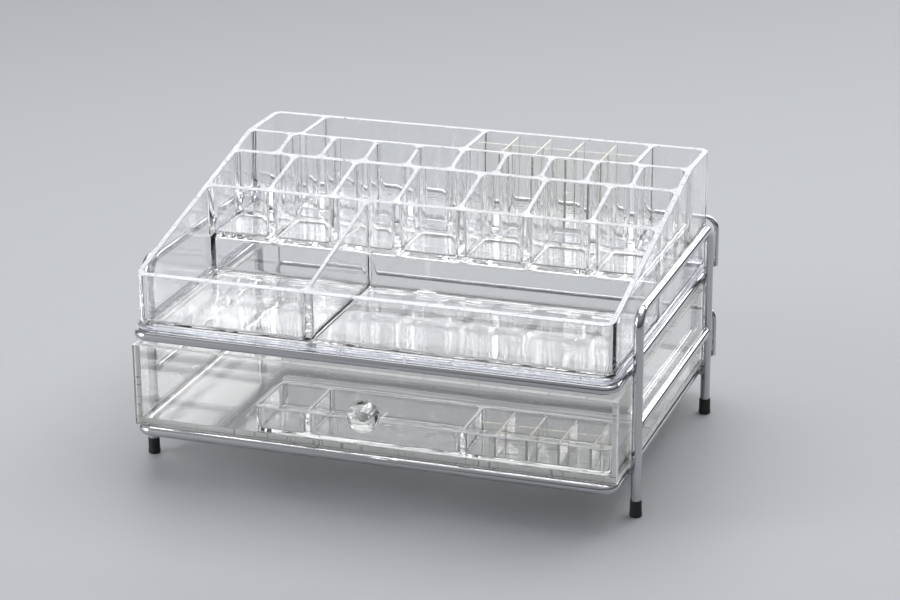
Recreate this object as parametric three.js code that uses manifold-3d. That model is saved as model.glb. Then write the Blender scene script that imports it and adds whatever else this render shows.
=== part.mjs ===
// Desk organizer: a clear moulded compartment tray standing on a chromed wire rack, over a clear
// pull-out drawer that holds a small insert tray. Millimetres, +Z up, +X to the right of a person
// facing the drawer, -Y towards that person. The origin is on the table, at the middle of the
// footprint of the whole object.

import * as THREE from 'three';
import { mergeVertices } from 'three/addons/utils/BufferGeometryUtils.js';
import Module from 'manifold-3d';

const wasm = await Module();
wasm.setup();

// ---------------------------------------------------------------- driving dimensions (mm)

// Tray: rows of compartments from the low front to the high back.
const TRAY_WIDTH = 287;
const OUTER_WALL = 3.4;
const INNER_WALL = 2.8;
const BIN_DEPTH = 97.9;           // front bins, front to back
const SHORT_CELL_DEPTH = 39.7;    // first row of small cells
const TALL_CELL_DEPTH = 23.2;     // second row of small cells
const BACK_CELL_DEPTH = 40;
const SHORT_CELLS = 7;
const TALL_CELLS = 10;
const LEFT_BIN_WIDTH = 101;
const END_CELL_WIDTH = 31;        // the two narrow compartments at the ends of the back row
const LIP_HEIGHT = 33.7;          // front wall above the base
const TRAY_HEIGHT = 73.6;
const BIN_FLOOR = 4;              // bin floor's top above the base
const RAISED_FLOOR = 26.7;        // raised floor's top above the base
const FLOOR_THICKNESS = 2.5;
const CELL_CORNER = 4.2;          // inner corner radius
const TRAY_CORNER = 6.5;          // outer corner radius
const FLANGE = 3;                 // how far the foot flange stands out, and how thick it is
const FLANGE_LEDGE = 7;           // how far the foot ring reaches in under the walls

// Rack: chromed steel wire.
const WIRE = 6;
const GUARD_WIRE = 3;
const LEG_SPACING = 163;          // front leg to rear leg
const LEG_SETBACK = 2.45;         // middle between the legs behind the middle of the tray
const FRAME_BEND = 9;
const LOOP_BEND = 7;
const GUARD_BEND = 8;
const LOWER_LOOP_HEIGHT = 27.6;   // centre of the wire above the table
const FRAME_RISE = 35;            // side frame's top above the upper loop
const RAIL_RISE = 27;             // side rail above the lower loop
const GUARD_RISE = 32.6;          // back guard's top above its loop
const GUARD_FOOT = 1.5;           // guard's cut ends above the middle of the loop's wire
const LOOP_FRONT_REACH = 1.5;     // loop's front wire in front of the tray's front wall
const LOOP_REAR_REACH = 6.5;      // loop's rear wire behind the tray's rear wall
const FOOT_HEIGHT = 10;
const FOOT_WALL = 0.5;
const FOOT_SOLE = 2.4;

// Drawer: cut acrylic sheet, glued at the edges.
const SHEET = 3.5;
const DRAWER_HEIGHT = 49.6;
const DRAWER_HEADROOM = 3.5;      // between the drawer and the upper loop
const DRAWER_FRONT_REACH = 1.4;   // drawer's front face in front of the tray's front wall
const KNOB_DIAMETER = 19;
const KNOB_FLAT = 7.8;            // ball's centre to its ground flat
const KNOB_OFFSET = 1.5;          // knob above the middle of the drawer's front
const SCREW_DIAMETER = 4;
const SCREW_GRIP = 8;             // screw's length inside the knob
const SCREW_HEAD_DIAMETER = 7;
const SCREW_HEAD_HEIGHT = 2.4;

// Insert tray inside the drawer.
const INSERT_WIDTH = 214.6;
const INSERT_DEPTH = 41.6;
const INSERT_HEIGHT = 15.6;
const INSERT_WALL = 2.2;
const INSERT_FLOOR = 1.8;
const INSERT_SMALL_WIDTH = 29;
const INSERT_WIDE_WIDTH = 92;
const INSERT_CORNER = 3.6;

// Slotted divider grids.
const PLATE = 1.4;
const GRID_CROSS_PLATES = 4;
const TRAY_GRID_HEIGHT = 45;
const INSERT_GRID_HEIGHT = 12.6;
const INSERT_GRID_PITCH = 18.7;

// Clearances.
const SEAT_GAP = 0.3;             // between faces that rest on or are welded to each other
const GLUE_GAP = 0.3;
const SLIDE_GAP = 0.5;            // each side of what slides or lifts between the legs
const FOOT_GAP = 0.2;
const GRID_GAP = 0.4;             // round the ends of the divider plates

const WIRE_SIDES = 12;
const THIN_WIRE_SIDES = 8;
const BEND_STEPS = 5;
const ROUND_SIDES = 20;
const CORNER_STEPS = 4;

// ---------------------------------------------------------------- places that follow from them

const trayDepth = 2 * OUTER_WALL + BIN_DEPTH + SHORT_CELL_DEPTH + TALL_CELL_DEPTH
  + BACK_CELL_DEPTH + 3 * INNER_WALL;
const trayFront = -trayDepth / 2;
const trayRear = trayDepth / 2;
const innerHalfWidth = TRAY_WIDTH / 2 - OUTER_WALL;
const shortRowWall = trayFront + OUTER_WALL + BIN_DEPTH;           // front face of each cross wall
const tallRowWall = shortRowWall + INNER_WALL + SHORT_CELL_DEPTH;
const backRowWall = tallRowWall + INNER_WALL + TALL_CELL_DEPTH;
const backRowFront = backRowWall + INNER_WALL;
const middleCellWidth = (2 * innerHalfWidth - 2 * END_CELL_WIDTH - 3 * INNER_WALL) / 2;

const slideHalfWidth = TRAY_WIDTH / 2 + FLANGE;                    // what passes between the legs
const legX = slideHalfWidth + SLIDE_GAP + WIRE / 2;
const legFront = LEG_SETBACK - LEG_SPACING / 2;
const legRear = LEG_SETBACK + LEG_SPACING / 2;
const loopX = legX - WIRE - SEAT_GAP;
const loopFront = trayFront - LOOP_FRONT_REACH;
const loopRear = trayRear + LOOP_REAR_REACH;
const guardX = loopX + WIRE / 2 + SEAT_GAP + GUARD_WIRE / 2;
const guardY = trayRear + SEAT_GAP + GUARD_WIRE / 2;

const drawerBase = LOWER_LOOP_HEIGHT + WIRE / 2 + SEAT_GAP;
const drawerTop = drawerBase + DRAWER_HEIGHT;
const drawerFloor = drawerBase + SHEET;
const drawerFront = trayFront - DRAWER_FRONT_REACH;
const drawerRear = guardY - GUARD_WIRE / 2 - SEAT_GAP;
const drawerInnerX = slideHalfWidth - SHEET;
const upperLoopHeight = drawerTop + DRAWER_HEADROOM + WIRE / 2;
const trayBase = upperLoopHeight + WIRE / 2 + SEAT_GAP;
const frameTop = upperLoopHeight + FRAME_RISE;
const knobHeight = (drawerBase + drawerTop) / 2 + KNOB_OFFSET;
const knobY = drawerFront - GLUE_GAP - KNOB_FLAT;

const insertRight = drawerInnerX - SEAT_GAP;
const insertLeft = insertRight - INSERT_WIDTH;
const insertFront = drawerFront + SHEET + SEAT_GAP;
const insertBase = drawerFloor + SEAT_GAP;

// ---------------------------------------------------------------- shared helpers

const acrylic = new THREE.MeshStandardMaterial({ color: 0xe9edf2, roughness: 0.06, metalness: 0 });
const sheetAcrylic = new THREE.MeshStandardMaterial({ color: 0xe6e6dc, roughness: 0.05, metalness: 0 });
const creamPlastic = new THREE.MeshStandardMaterial({ color: 0xece7d6, roughness: 0.12, metalness: 0 });
const chrome = new THREE.MeshStandardMaterial({ color: 0xd9dbde, roughness: 0.08, metalness: 1 });
const rubber = new THREE.MeshStandardMaterial({ color: 0x121212, roughness: 0.75, metalness: 0 });

// A geometry as one welded surface, without the slivers that a pole or a seam leaves.
function weld(geometry) {
  const bare = geometry.clone();
  bare.deleteAttribute('normal');
  bare.deleteAttribute('uv');
  const merged = mergeVertices(bare, 1e-4);
  const index = merged.getIndex().array;
  const kept = [];
  for (let i = 0; i < index.length; i += 3) {
    const [a, b, c] = [index[i], index[i + 1], index[i + 2]];
    if (a !== b && b !== c && c !== a) kept.push(a, b, c);
  }
  merged.setIndex(kept);
  return merged;
}

function toSolid(geometry) {
  const surface = weld(geometry);
  return new wasm.Manifold(new wasm.Mesh({
    numProp: 3,
    vertProperties: new Float32Array(surface.getAttribute('position').array),
    triVerts: new Uint32Array(surface.getIndex().array),
  }));
}

function toGeometry(solid) {
  const mesh = solid.getMesh();
  const geometry = new THREE.BufferGeometry();
  geometry.setAttribute('position', new THREE.BufferAttribute(mesh.vertProperties, 3));
  geometry.setIndex(new THREE.BufferAttribute(mesh.triVerts, 1));
  geometry.computeVertexNormals();
  return geometry;
}

// A box between two corners.
function block(low, high) {
  const size = high.map((value, axis) => value - low[axis]);
  const middle = high.map((value, axis) => (value + low[axis]) / 2);
  return new THREE.BoxGeometry(...size).translate(...middle);
}

// An upright prism with rounded corners, between two plan corners and two heights.
function roundedBlock([x0, y0], [x1, y1], base, top, radius) {
  const outline = new THREE.Shape();
  outline.moveTo(x0 + radius, y0);
  outline.lineTo(x1 - radius, y0);
  outline.absarc(x1 - radius, y0 + radius, radius, -Math.PI / 2, 0);
  outline.lineTo(x1, y1 - radius);
  outline.absarc(x1 - radius, y1 - radius, radius, 0, Math.PI / 2);
  outline.lineTo(x0 + radius, y1);
  outline.absarc(x0 + radius, y1 - radius, radius, Math.PI / 2, Math.PI);
  outline.lineTo(x0, y0 + radius);
  outline.absarc(x0 + radius, y0 + radius, radius, Math.PI, Math.PI * 1.5);
  const settings = { depth: top - base, bevelEnabled: false, curveSegments: CORNER_STEPS };
  return new THREE.ExtrudeGeometry(outline, settings).translate(0, 0, base);
}

// A turned piece: the profile is [radius, height] pairs, from the axis back to the axis.
function turned(profile, sides = ROUND_SIDES) {
  const points = profile.map(([radius, height]) => new THREE.Vector2(radius, height));
  return weld(new THREE.LatheGeometry(points, sides).rotateX(Math.PI / 2));
}

// A wire's route, given point by point, with a section square to the wire at each point.
class WireRoute extends THREE.Curve {
  constructor(points) {
    super();
    this.points = points;
  }

  getPoint(t) {
    return this.points[Math.round(t * (this.points.length - 1))].clone();
  }

  getPointAt(u) {
    return this.getPoint(u);
  }

  getSpacedPoints() {
    return this.points;
  }

  getTangentAt(u) {
    const last = this.points.length - 1;
    const here = Math.round(u * last);
    const before = this.points[Math.max(here - 1, 0)];
    const after = this.points[Math.min(here + 1, last)];
    const arriving = this.points[here].clone().sub(before).normalize();
    const leaving = after.clone().sub(this.points[here]).normalize();
    return arriving.add(leaving).normalize();
  }
}

// A polyline with each inner corner bent to a radius.
function bent(corners, radius) {
  const points = [corners[0]];
  for (let i = 1; i < corners.length - 1; i += 1) {
    const inward = corners[i - 1].clone().sub(corners[i]).normalize();
    const outward = corners[i + 1].clone().sub(corners[i]).normalize();
    const centre = inward.clone().add(outward).multiplyScalar(radius).add(corners[i]);
    for (let step = 0; step <= BEND_STEPS; step += 1) {
      const turn = (step / BEND_STEPS) * Math.PI / 2;
      const offset = outward.clone().multiplyScalar(-radius * Math.cos(turn));
      offset.addScaledVector(inward, -radius * Math.sin(turn));
      points.push(centre.clone().add(offset));
    }
  }
  points.push(corners[corners.length - 1]);
  return points;
}

// Round wire along points.
function wire(points, diameter, sides = WIRE_SIDES) {
  const section = new THREE.Shape();
  for (let side = 0; side < sides; side += 1) {
    const angle = side / sides * Math.PI * 2;
    const [x, y] = [Math.cos(angle) * diameter / 2, Math.sin(angle) * diameter / 2];
    if (side === 0) section.moveTo(x, y);
    else section.lineTo(x, y);
  }
  section.closePath();
  const route = new WireRoute(points);
  return new THREE.ExtrudeGeometry(section, { steps: points.length - 1, extrudePath: route });
}

const organizer = new THREE.Group();

function addNode(name, geometry, material, parent = organizer) {
  const mesh = new THREE.Mesh(geometry, material);
  mesh.name = name;
  parent.add(mesh);
  return mesh;
}

const at = (x, y, z) => new THREE.Vector3(x, y, z);

// ---------------------------------------------------------------- rack

// Side frame: one wire bent to an upside-down U, whose ends are the front and the rear leg.
function sideFrame(side) {
  const x = side * legX;
  const foot = FOOT_SOLE + SEAT_GAP;
  const corners = [
    at(x, legFront, foot),
    at(x, legFront, frameTop),
    at(x, legRear, frameTop),
    at(x, legRear, foot),
  ];
  return wire(bent(corners, FRAME_BEND), WIRE);
}

// Side rail: a straight wire welded between the two legs.
function sideRail(side) {
  const inset = WIRE / 2 + SEAT_GAP;
  const height = LOWER_LOOP_HEIGHT + RAIL_RISE;
  const front = at(side * legX, legFront + inset, height);
  const rear = at(side * legX, legRear - inset, height);
  return wire([front, rear], WIRE);
}

// Shelf loop: a closed rectangle of wire, made of two bent halves that meet at the sides.
function shelfLoop(height) {
  const middle = (loopFront + loopRear) / 2;
  const half = (y) => wire(bent([
    at(-loopX, middle, height),
    at(-loopX, y, height),
    at(loopX, y, height),
    at(loopX, middle, height),
  ], LOOP_BEND), WIRE);
  return toGeometry(toSolid(half(loopFront)).add(toSolid(half(loopRear))));
}

// Back guard: a thin upside-down U welded to the outside of a loop, which stops what stands on it.
function backGuard(height) {
  const top = height + GUARD_RISE;
  const cut = height + GUARD_FOOT;
  const corners = [
    at(-guardX, guardY, cut),
    at(-guardX, guardY, top),
    at(guardX, guardY, top),
    at(guardX, guardY, cut),
  ];
  return wire(bent(corners, GUARD_BEND), GUARD_WIRE, THIN_WIRE_SIDES);
}

// Foot: a rubber cap pushed on the end of a leg.
function foot() {
  const bore = WIRE / 2 + FOOT_GAP;
  const outside = bore + FOOT_WALL;
  return turned([
    [0, 0],
    [outside, 0],
    [outside, FOOT_HEIGHT],
    [bore, FOOT_HEIGHT],
    [bore, FOOT_SOLE],
    [0, FOOT_SOLE],
  ]);
}

for (const [name, side] of [['left', -1], ['right', 1]]) {
  addNode(`${name}_side_frame`, sideFrame(side), chrome);
  addNode(`${name}_side_rail`, sideRail(side), chrome);
  for (const [end, y] of [['front', legFront], ['rear', legRear]]) {
    addNode(`foot_${end}_${name}`, foot(), rubber).position.set(side * legX, y, 0);
  }
}
addNode('lower_shelf_loop', shelfLoop(LOWER_LOOP_HEIGHT), chrome);
addNode('upper_shelf_loop', shelfLoop(upperLoopHeight), chrome);
addNode('lower_back_guard', backGuard(LOWER_LOOP_HEIGHT), chrome);
addNode('upper_back_guard', backGuard(upperLoopHeight), chrome);

// ---------------------------------------------------------------- tray

// The compartments of one row: plan corners of each cell, from its widths.
function rowCells(widths, front, rear) {
  let x = -innerHalfWidth;
  return widths.map((width) => {
    const cell = [[x, front], [x + width, rear]];
    x += width + INNER_WALL;
    return cell;
  });
}

function equalWidths(count) {
  return Array(count).fill((2 * innerHalfWidth - (count - 1) * INNER_WALL) / count);
}

// The tray's outside, cut to a low front and a straight slope up to the back row.
function trayBody() {
  const profile = new THREE.Shape();
  profile.moveTo(trayFront, 0);
  profile.lineTo(trayRear, 0);
  profile.lineTo(trayRear, TRAY_HEIGHT);
  profile.lineTo(backRowWall, TRAY_HEIGHT);
  profile.lineTo(trayFront, LIP_HEIGHT);
  profile.closePath();
  const sideways = new THREE.Matrix4().makeBasis(at(0, 1, 0), at(0, 0, 1), at(1, 0, 0));
  const slab = new THREE.ExtrudeGeometry(profile, { depth: TRAY_WIDTH, bevelEnabled: false });
  slab.translate(0, 0, -TRAY_WIDTH / 2).applyMatrix4(sideways);
  const half = TRAY_WIDTH / 2;
  const plan = roundedBlock([-half, trayFront], [half, trayRear], 0, TRAY_HEIGHT, TRAY_CORNER);
  return toSolid(slab).intersect(toSolid(plan));
}

function tray() {
  const half = TRAY_WIDTH / 2 + FLANGE;
  const flange = roundedBlock(
    [-half, trayFront - FLANGE], [half, trayRear + FLANGE], 0, FLANGE, TRAY_CORNER + FLANGE);
  let body = trayBody().add(toSolid(flange));

  const binWidths = [LEFT_BIN_WIDTH, 2 * innerHalfWidth - LEFT_BIN_WIDTH - INNER_WALL];
  const backWidths = [END_CELL_WIDTH, middleCellWidth, middleCellWidth, END_CELL_WIDTH];
  const rows = [
    [rowCells(binWidths, trayFront + OUTER_WALL, shortRowWall), BIN_FLOOR],
    [rowCells(equalWidths(SHORT_CELLS), shortRowWall + INNER_WALL, tallRowWall), RAISED_FLOOR],
    [rowCells(equalWidths(TALL_CELLS), tallRowWall + INNER_WALL, backRowWall), RAISED_FLOOR],
    [rowCells(backWidths, backRowFront, trayRear - OUTER_WALL), RAISED_FLOOR],
  ];
  for (const [cells, floor] of rows) {
    for (const [low, high] of cells) {
      const hollow = roundedBlock(low, high, floor, TRAY_HEIGHT + OUTER_WALL, CELL_CORNER);
      body = body.subtract(toSolid(hollow));
    }
  }

  // Open underside: shallow below the bins, deep below the raised floor.
  const ringX = innerHalfWidth - (FLANGE_LEDGE - OUTER_WALL);
  const underBins = roundedBlock(
    [-ringX, trayFront + FLANGE_LEDGE], [ringX, shortRowWall - OUTER_WALL],
    -FLANGE, BIN_FLOOR - FLOOR_THICKNESS, CELL_CORNER);
  const underCells = roundedBlock(
    [-innerHalfWidth, shortRowWall + INNER_WALL], [innerHalfWidth, trayRear - OUTER_WALL],
    -FLANGE, RAISED_FLOOR - FLOOR_THICKNESS, CELL_CORNER);
  body = body.subtract(toSolid(underBins)).subtract(toSolid(underCells));
  return toGeometry(body.translate(0, 0, trayBase));
}

addNode('tray', tray(), acrylic);

// ---------------------------------------------------------------- divider grids

// An upright plate with half-height slots, open at the top or at the bottom, at the given places.
function slottedPlate(length, height, slots, openAtTop) {
  let plate = toSolid(block([0, -PLATE / 2, 0], [length, PLATE / 2, height]));
  const slotHalf = PLATE / 2 + SEAT_GAP;
  const [low, high] = openAtTop
    ? [(height - SEAT_GAP) / 2, height + PLATE]
    : [-PLATE, (height + SEAT_GAP) / 2];
  for (const place of slots) {
    const slot = block([place - slotHalf, -PLATE, low], [place + slotHalf, PLATE, high]);
    plate = plate.subtract(toSolid(slot));
  }
  return toGeometry(plate);
}

// A grid of one long plate and short cross plates, standing in a rectangular compartment.
function grid(prefix, [x0, y0], [x1, y1], base, height, pitch, material) {
  const length = x1 - x0 - 2 * GRID_GAP;
  const depth = y1 - y0 - 2 * GRID_GAP;
  const places = Array.from({ length: GRID_CROSS_PLATES }, (_, i) => pitch * (i + 1) - GRID_GAP);
  const long = addNode(`${prefix}_long_plate`, slottedPlate(length, height, places, true), material);
  long.position.set(x0 + GRID_GAP, (y0 + y1) / 2, base);
  for (const [i, place] of places.entries()) {
    const cross = slottedPlate(depth, height, [depth / 2], false);
    const node = addNode(`${prefix}_cross_plate_${i + 1}`, cross, material);
    node.position.set(x0 + GRID_GAP + place, y0 + GRID_GAP, base);
    node.rotation.z = Math.PI / 2;
  }
}

const gridLeft = INNER_WALL / 2;
const gridRight = gridLeft + middleCellWidth;
const trayGridPitch = middleCellWidth / (GRID_CROSS_PLATES + 1);
grid('tray_grid', [gridLeft, backRowFront], [gridRight, trayRear - OUTER_WALL],
  trayBase + RAISED_FLOOR + SEAT_GAP, TRAY_GRID_HEIGHT, trayGridPitch, creamPlastic);

// ---------------------------------------------------------------- drawer

const sideLow = drawerFloor + GLUE_GAP;
const behindFront = drawerFront + SHEET + GLUE_GAP;
const screwHole = SCREW_DIAMETER / 2 + SEAT_GAP;

// A cylinder along Y between two places.
function rodAlongY(radius, front, rear, height) {
  const rod = new THREE.CylinderGeometry(radius, radius, rear - front, ROUND_SIDES);
  return rod.translate(0, (front + rear) / 2, height);
}

function drawerFrontPanel() {
  const panel = block([-slideHalfWidth, drawerFront, drawerBase],
    [slideHalfWidth, drawerFront + SHEET, drawerTop]);
  const hole = rodAlongY(screwHole, drawerFront - SHEET, drawerFront + 2 * SHEET, knobHeight);
  return toGeometry(toSolid(panel).subtract(toSolid(hole)));
}

addNode('drawer_front_panel', drawerFrontPanel(), sheetAcrylic);
addNode('drawer_bottom_panel', block([-slideHalfWidth, behindFront, drawerBase],
  [slideHalfWidth, drawerRear, drawerFloor]), sheetAcrylic);
addNode('drawer_left_panel', block([-slideHalfWidth, behindFront, sideLow],
  [-drawerInnerX, drawerRear, drawerTop]), sheetAcrylic);
addNode('drawer_right_panel', block([drawerInnerX, behindFront, sideLow],
  [slideHalfWidth, drawerRear, drawerTop]), sheetAcrylic);
addNode('drawer_back_panel', block([-drawerInnerX + GLUE_GAP, drawerRear - SHEET, sideLow],
  [drawerInnerX - GLUE_GAP, drawerRear, drawerTop]), sheetAcrylic);

// Knob: a ball with a flat ground on its back and a hole for the screw.
function knob() {
  const radius = KNOB_DIAMETER / 2;
  const ball = new THREE.SphereGeometry(radius, ROUND_SIDES, ROUND_SIDES / 2);
  ball.translate(0, knobY, knobHeight);
  const cut = block([-radius, knobY + KNOB_FLAT, knobHeight - radius],
    [radius, knobY + 2 * radius, knobHeight + radius]);
  const flat = knobY + KNOB_FLAT;
  const hole = rodAlongY(screwHole, flat - SCREW_GRIP - SEAT_GAP, flat + radius, knobHeight);
  return toGeometry(toSolid(ball).subtract(toSolid(cut)).subtract(toSolid(hole)));
}

// Screw: its head is inside the drawer and its shank goes through the panel into the knob.
function knobScrew() {
  const seat = drawerFront + SHEET + SEAT_GAP;
  const shank = rodAlongY(SCREW_DIAMETER / 2, knobY + KNOB_FLAT - SCREW_GRIP, seat + SEAT_GAP, knobHeight);
  const head = rodAlongY(SCREW_HEAD_DIAMETER / 2, seat, seat + SCREW_HEAD_HEIGHT, knobHeight);
  return toGeometry(toSolid(shank).add(toSolid(head)));
}

addNode('knob', knob(), acrylic);
addNode('knob_screw', knobScrew(), chrome);

// ---------------------------------------------------------------- insert tray

const insertRear = insertFront + INSERT_DEPTH;
const insertCellRear = insertRear - INSERT_WALL;
const insertCellFront = insertFront + INSERT_WALL;
const wideCellLeft = insertLeft + 2 * INSERT_WALL + INSERT_SMALL_WIDTH;
const gridCellLeft = wideCellLeft + INSERT_WIDE_WIDTH + INSERT_WALL;

function insertTray() {
  const top = insertBase + INSERT_HEIGHT;
  const outside = roundedBlock([insertLeft, insertFront], [insertRight, insertRear],
    insertBase, top, INSERT_CORNER + INSERT_WALL / 2);
  const spans = [
    [insertLeft + INSERT_WALL, wideCellLeft - INSERT_WALL],
    [wideCellLeft, wideCellLeft + INSERT_WIDE_WIDTH],
    [gridCellLeft, insertRight - INSERT_WALL],
  ];
  let body = toSolid(outside);
  for (const [left, right] of spans) {
    const hollow = roundedBlock([left, insertCellFront], [right, insertCellRear],
      insertBase + INSERT_FLOOR, top + INSERT_WALL, INSERT_CORNER);
    body = body.subtract(toSolid(hollow));
  }
  return toGeometry(body);
}

addNode('insert_tray', insertTray(), acrylic);
grid('insert_grid', [gridCellLeft, insertCellFront], [insertRight - INSERT_WALL, insertCellRear],
  insertBase + INSERT_FLOOR + SEAT_GAP, INSERT_GRID_HEIGHT, INSERT_GRID_PITCH, creamPlastic);

// ---------------------------------------------------------------- frame

// The knob stands out in front of the rack, so the middle of the footprint is not the rack's.
const footprintFront = knobY - KNOB_DIAMETER / 2;
const footprintRear = loopRear + WIRE / 2;
organizer.position.y = -(footprintFront + footprintRear) / 2;

export default organizer;
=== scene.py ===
# %% [markdown]
# # Desk organizer: a clear compartment tray over a clear drawer, on a chromed wire rack
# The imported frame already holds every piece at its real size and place. This lesson dresses it:
# each piece is made again with the roundings, sawn edges, welds and finishes that the real one has,
# in exactly the space that the frame gives it.

# %% Load the frame
import math

import bmesh
import bpy
from mathutils import Euler, Matrix, Vector


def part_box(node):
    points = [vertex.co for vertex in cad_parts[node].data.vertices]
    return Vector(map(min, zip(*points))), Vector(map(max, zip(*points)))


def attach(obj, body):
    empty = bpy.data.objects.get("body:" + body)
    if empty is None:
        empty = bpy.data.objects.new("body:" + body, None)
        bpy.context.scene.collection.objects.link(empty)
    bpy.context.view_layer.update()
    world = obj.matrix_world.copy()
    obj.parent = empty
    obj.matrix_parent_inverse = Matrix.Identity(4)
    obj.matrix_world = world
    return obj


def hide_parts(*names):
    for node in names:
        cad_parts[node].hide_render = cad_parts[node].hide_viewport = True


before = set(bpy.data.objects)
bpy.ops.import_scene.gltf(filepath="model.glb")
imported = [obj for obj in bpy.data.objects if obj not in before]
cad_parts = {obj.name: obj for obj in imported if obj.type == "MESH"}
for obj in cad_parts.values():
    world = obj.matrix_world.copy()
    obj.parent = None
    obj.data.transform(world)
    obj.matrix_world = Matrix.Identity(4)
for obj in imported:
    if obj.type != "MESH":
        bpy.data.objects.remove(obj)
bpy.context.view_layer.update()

MM = 0.001
print("nodes:", len(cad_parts))

# %% [markdown]
# ## Small tools for meshes
# A mesh is a list of points and a list of faces. Most pieces here are lofts: a stack of outlines
# with the same number of points, joined by four-sided faces and closed by a cap at each end. Lofts
# were chosen because every rounding can then be placed exactly where the mould has it.

# %% Mesh tools
def place_object(name, data):
    """A new object at the origin, in the scene."""
    item = bpy.data.objects.new(name, data)
    bpy.context.scene.collection.objects.link(item)
    return item


def add_mesh(name, points, faces):
    """A new object from points and faces, with every face turned outwards."""
    mesh = bpy.data.meshes.new(name)
    mesh.from_pydata(points, [], faces)
    shape = bmesh.new()
    shape.from_mesh(mesh)
    bmesh.ops.remove_doubles(shape, verts=shape.verts, dist=1e-7)
    bmesh.ops.recalc_face_normals(shape, faces=shape.faces)
    shape.to_mesh(mesh)
    shape.free()
    return place_object(name, mesh)


def loft(rings, fold=None):
    """Points and faces of a stack of rings. A fold splits the last cap along y = fold."""
    count = len(rings[0])
    points = [p for ring in rings for p in ring]
    faces = [list(reversed(range(count)))]
    for level in range(len(rings) - 1):
        base = level * count
        for i in range(count):
            j = (i + 1) % count
            faces.append([base + i, base + j, base + count + j, base + count + i])
    last = (len(rings) - 1) * count
    cap = list(range(last, last + count))
    if fold is None:
        faces.append(cap)
    else:
        faces.append([i for i in cap if points[i][1] <= fold + 1e-7])
        faces.append([i for i in cap if points[i][1] >= fold - 1e-7])
    return points, faces


def rectangle(x0, x1, y0, y1, z):
    return [(x0, y0, z), (x1, y0, z), (x1, y1, z), (x0, y1, z)]


def outline(x0, x1, y0, y1, radius, steps=8, fold=None):
    """Plan of a rectangle with rounded corners, anticlockwise, with a point more on each side at fold."""
    plan = []
    corners = [(x1 - radius, y0 + radius, -90), (x1 - radius, y1 - radius, 0),
               (x0 + radius, y1 - radius, 90), (x0 + radius, y0 + radius, 180)]
    for number, (cx, cy, start) in enumerate(corners):
        for step in range(steps + 1):
            turn = math.radians(start + 90 * step / steps)
            plan.append((cx + radius * math.cos(turn), cy + radius * math.sin(turn)))
        if fold is not None and number in (0, 2):
            plan.append((x0 if number else x1, fold))
    return plan


def shrinking_plan(x0, x1, y0, y1, corner, least=0.0, **shape):
    """Gives the outline drawn in by an inset, or out by a negative one."""
    def plan(inset):
        return outline(x0 + inset, x1 - inset, y0 + inset, y1 - inset, max(corner - inset, least), **shape)
    return plan


def stack(plan, steps, level):
    """Rings at (inset, height) pairs in millimetres, with heights counted from level(y)."""
    return [[(x, y, level(y) + up * MM) for x, y in plan(inset * MM)] for inset, up in steps]


def turned(name, profile, sides=48, along="z"):
    """A lathe piece. The profile is (radius, height) pairs from the axis back to the axis."""
    points, rings, faces = [], [], []
    for radius, height in profile:
        count = 1 if radius == 0 else sides
        rings.append(range(len(points), len(points) + count))
        for i in range(count):
            turn = 2 * math.pi * i / sides
            points.append((radius * math.cos(turn), radius * math.sin(turn), height))
    for low, high in zip(rings, rings[1:]):
        for i in range(sides):
            j = (i + 1) % sides
            if len(low) == 1:
                faces.append([low[0], high[i], high[j]])
            elif len(high) == 1:
                faces.append([low[i], low[j], high[0]])
            else:
                faces.append([low[i], low[j], high[j], high[i]])
    if along == "y":
        points = [(x, z, y) for x, y, z in points]
    return add_mesh(name, points, faces)


def shift(item, x, y, z):
    """Moves the points of a mesh. The object stays at the origin."""
    item.data.transform(Matrix.Translation((x, y, z)))


def settle(item):
    """Applies every modifier: the evaluated mesh becomes the object's own plain mesh."""
    graph = bpy.context.evaluated_depsgraph_get()
    graph.update()
    mesh = bpy.data.meshes.new_from_object(item.evaluated_get(graph), depsgraph=graph)
    item.modifiers.clear()
    item.data = mesh
    return item


def smooth(item, sharp_degrees=40, bevel=0.0):
    """Rounds the edges if asked, and shades flats flat and roundings round by weighted normals."""
    if bevel:
        rounding = item.modifiers.new("rounding", "BEVEL")
        rounding.width = bevel
        rounding.segments = 2
        rounding.limit_method = "ANGLE"
        rounding.angle_limit = math.radians(sharp_degrees)
        settle(item)
    item.data.shade_smooth()
    item.data.set_sharp_from_angle(angle=math.radians(sharp_degrees))
    weighting = item.modifiers.new("weighting", "WEIGHTED_NORMAL")
    weighting.keep_sharp = True
    weighting.weight = 100
    return settle(item)


def join(name, items):
    """One object from several."""
    whole = bmesh.new()
    materials = []
    for item in items:
        part = item.data
        slots = []
        for material in part.materials:
            if material is not None and material not in materials:
                materials.append(material)
            slots.append(0 if material is None else materials.index(material))
        before = len(whole.faces)
        whole.from_mesh(part)
        whole.faces.ensure_lookup_table()
        for face in whole.faces[before:]:
            face.material_index = slots[face.material_index] if slots else 0
        bpy.data.objects.remove(item)
    mesh = bpy.data.meshes.new(name)
    whole.to_mesh(mesh)
    whole.free()
    for material in materials:
        mesh.materials.append(material)
    return place_object(name, mesh)


def finish_number(item, material):
    """The number of a material among an object's finishes, added if it isn't there yet."""
    if material.name not in item.data.materials:
        item.data.materials.append(material)
    return item.data.materials.find(material.name)


def stand_for(item, body, slot_name, *nodes):
    """Rides on its body in place of the frame's own nodes."""
    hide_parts(*nodes)
    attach(item, body)
    faces = len(item.data.polygons)
    low, high = item.bound_box[0], item.bound_box[6]
    size = " x ".join(f"{(b - a) / MM:.1f}" for a, b in zip(low, high))
    print(f"{item.name}: {faces} faces, {size} mm, on {body}")


print("mesh tools ready")

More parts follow.
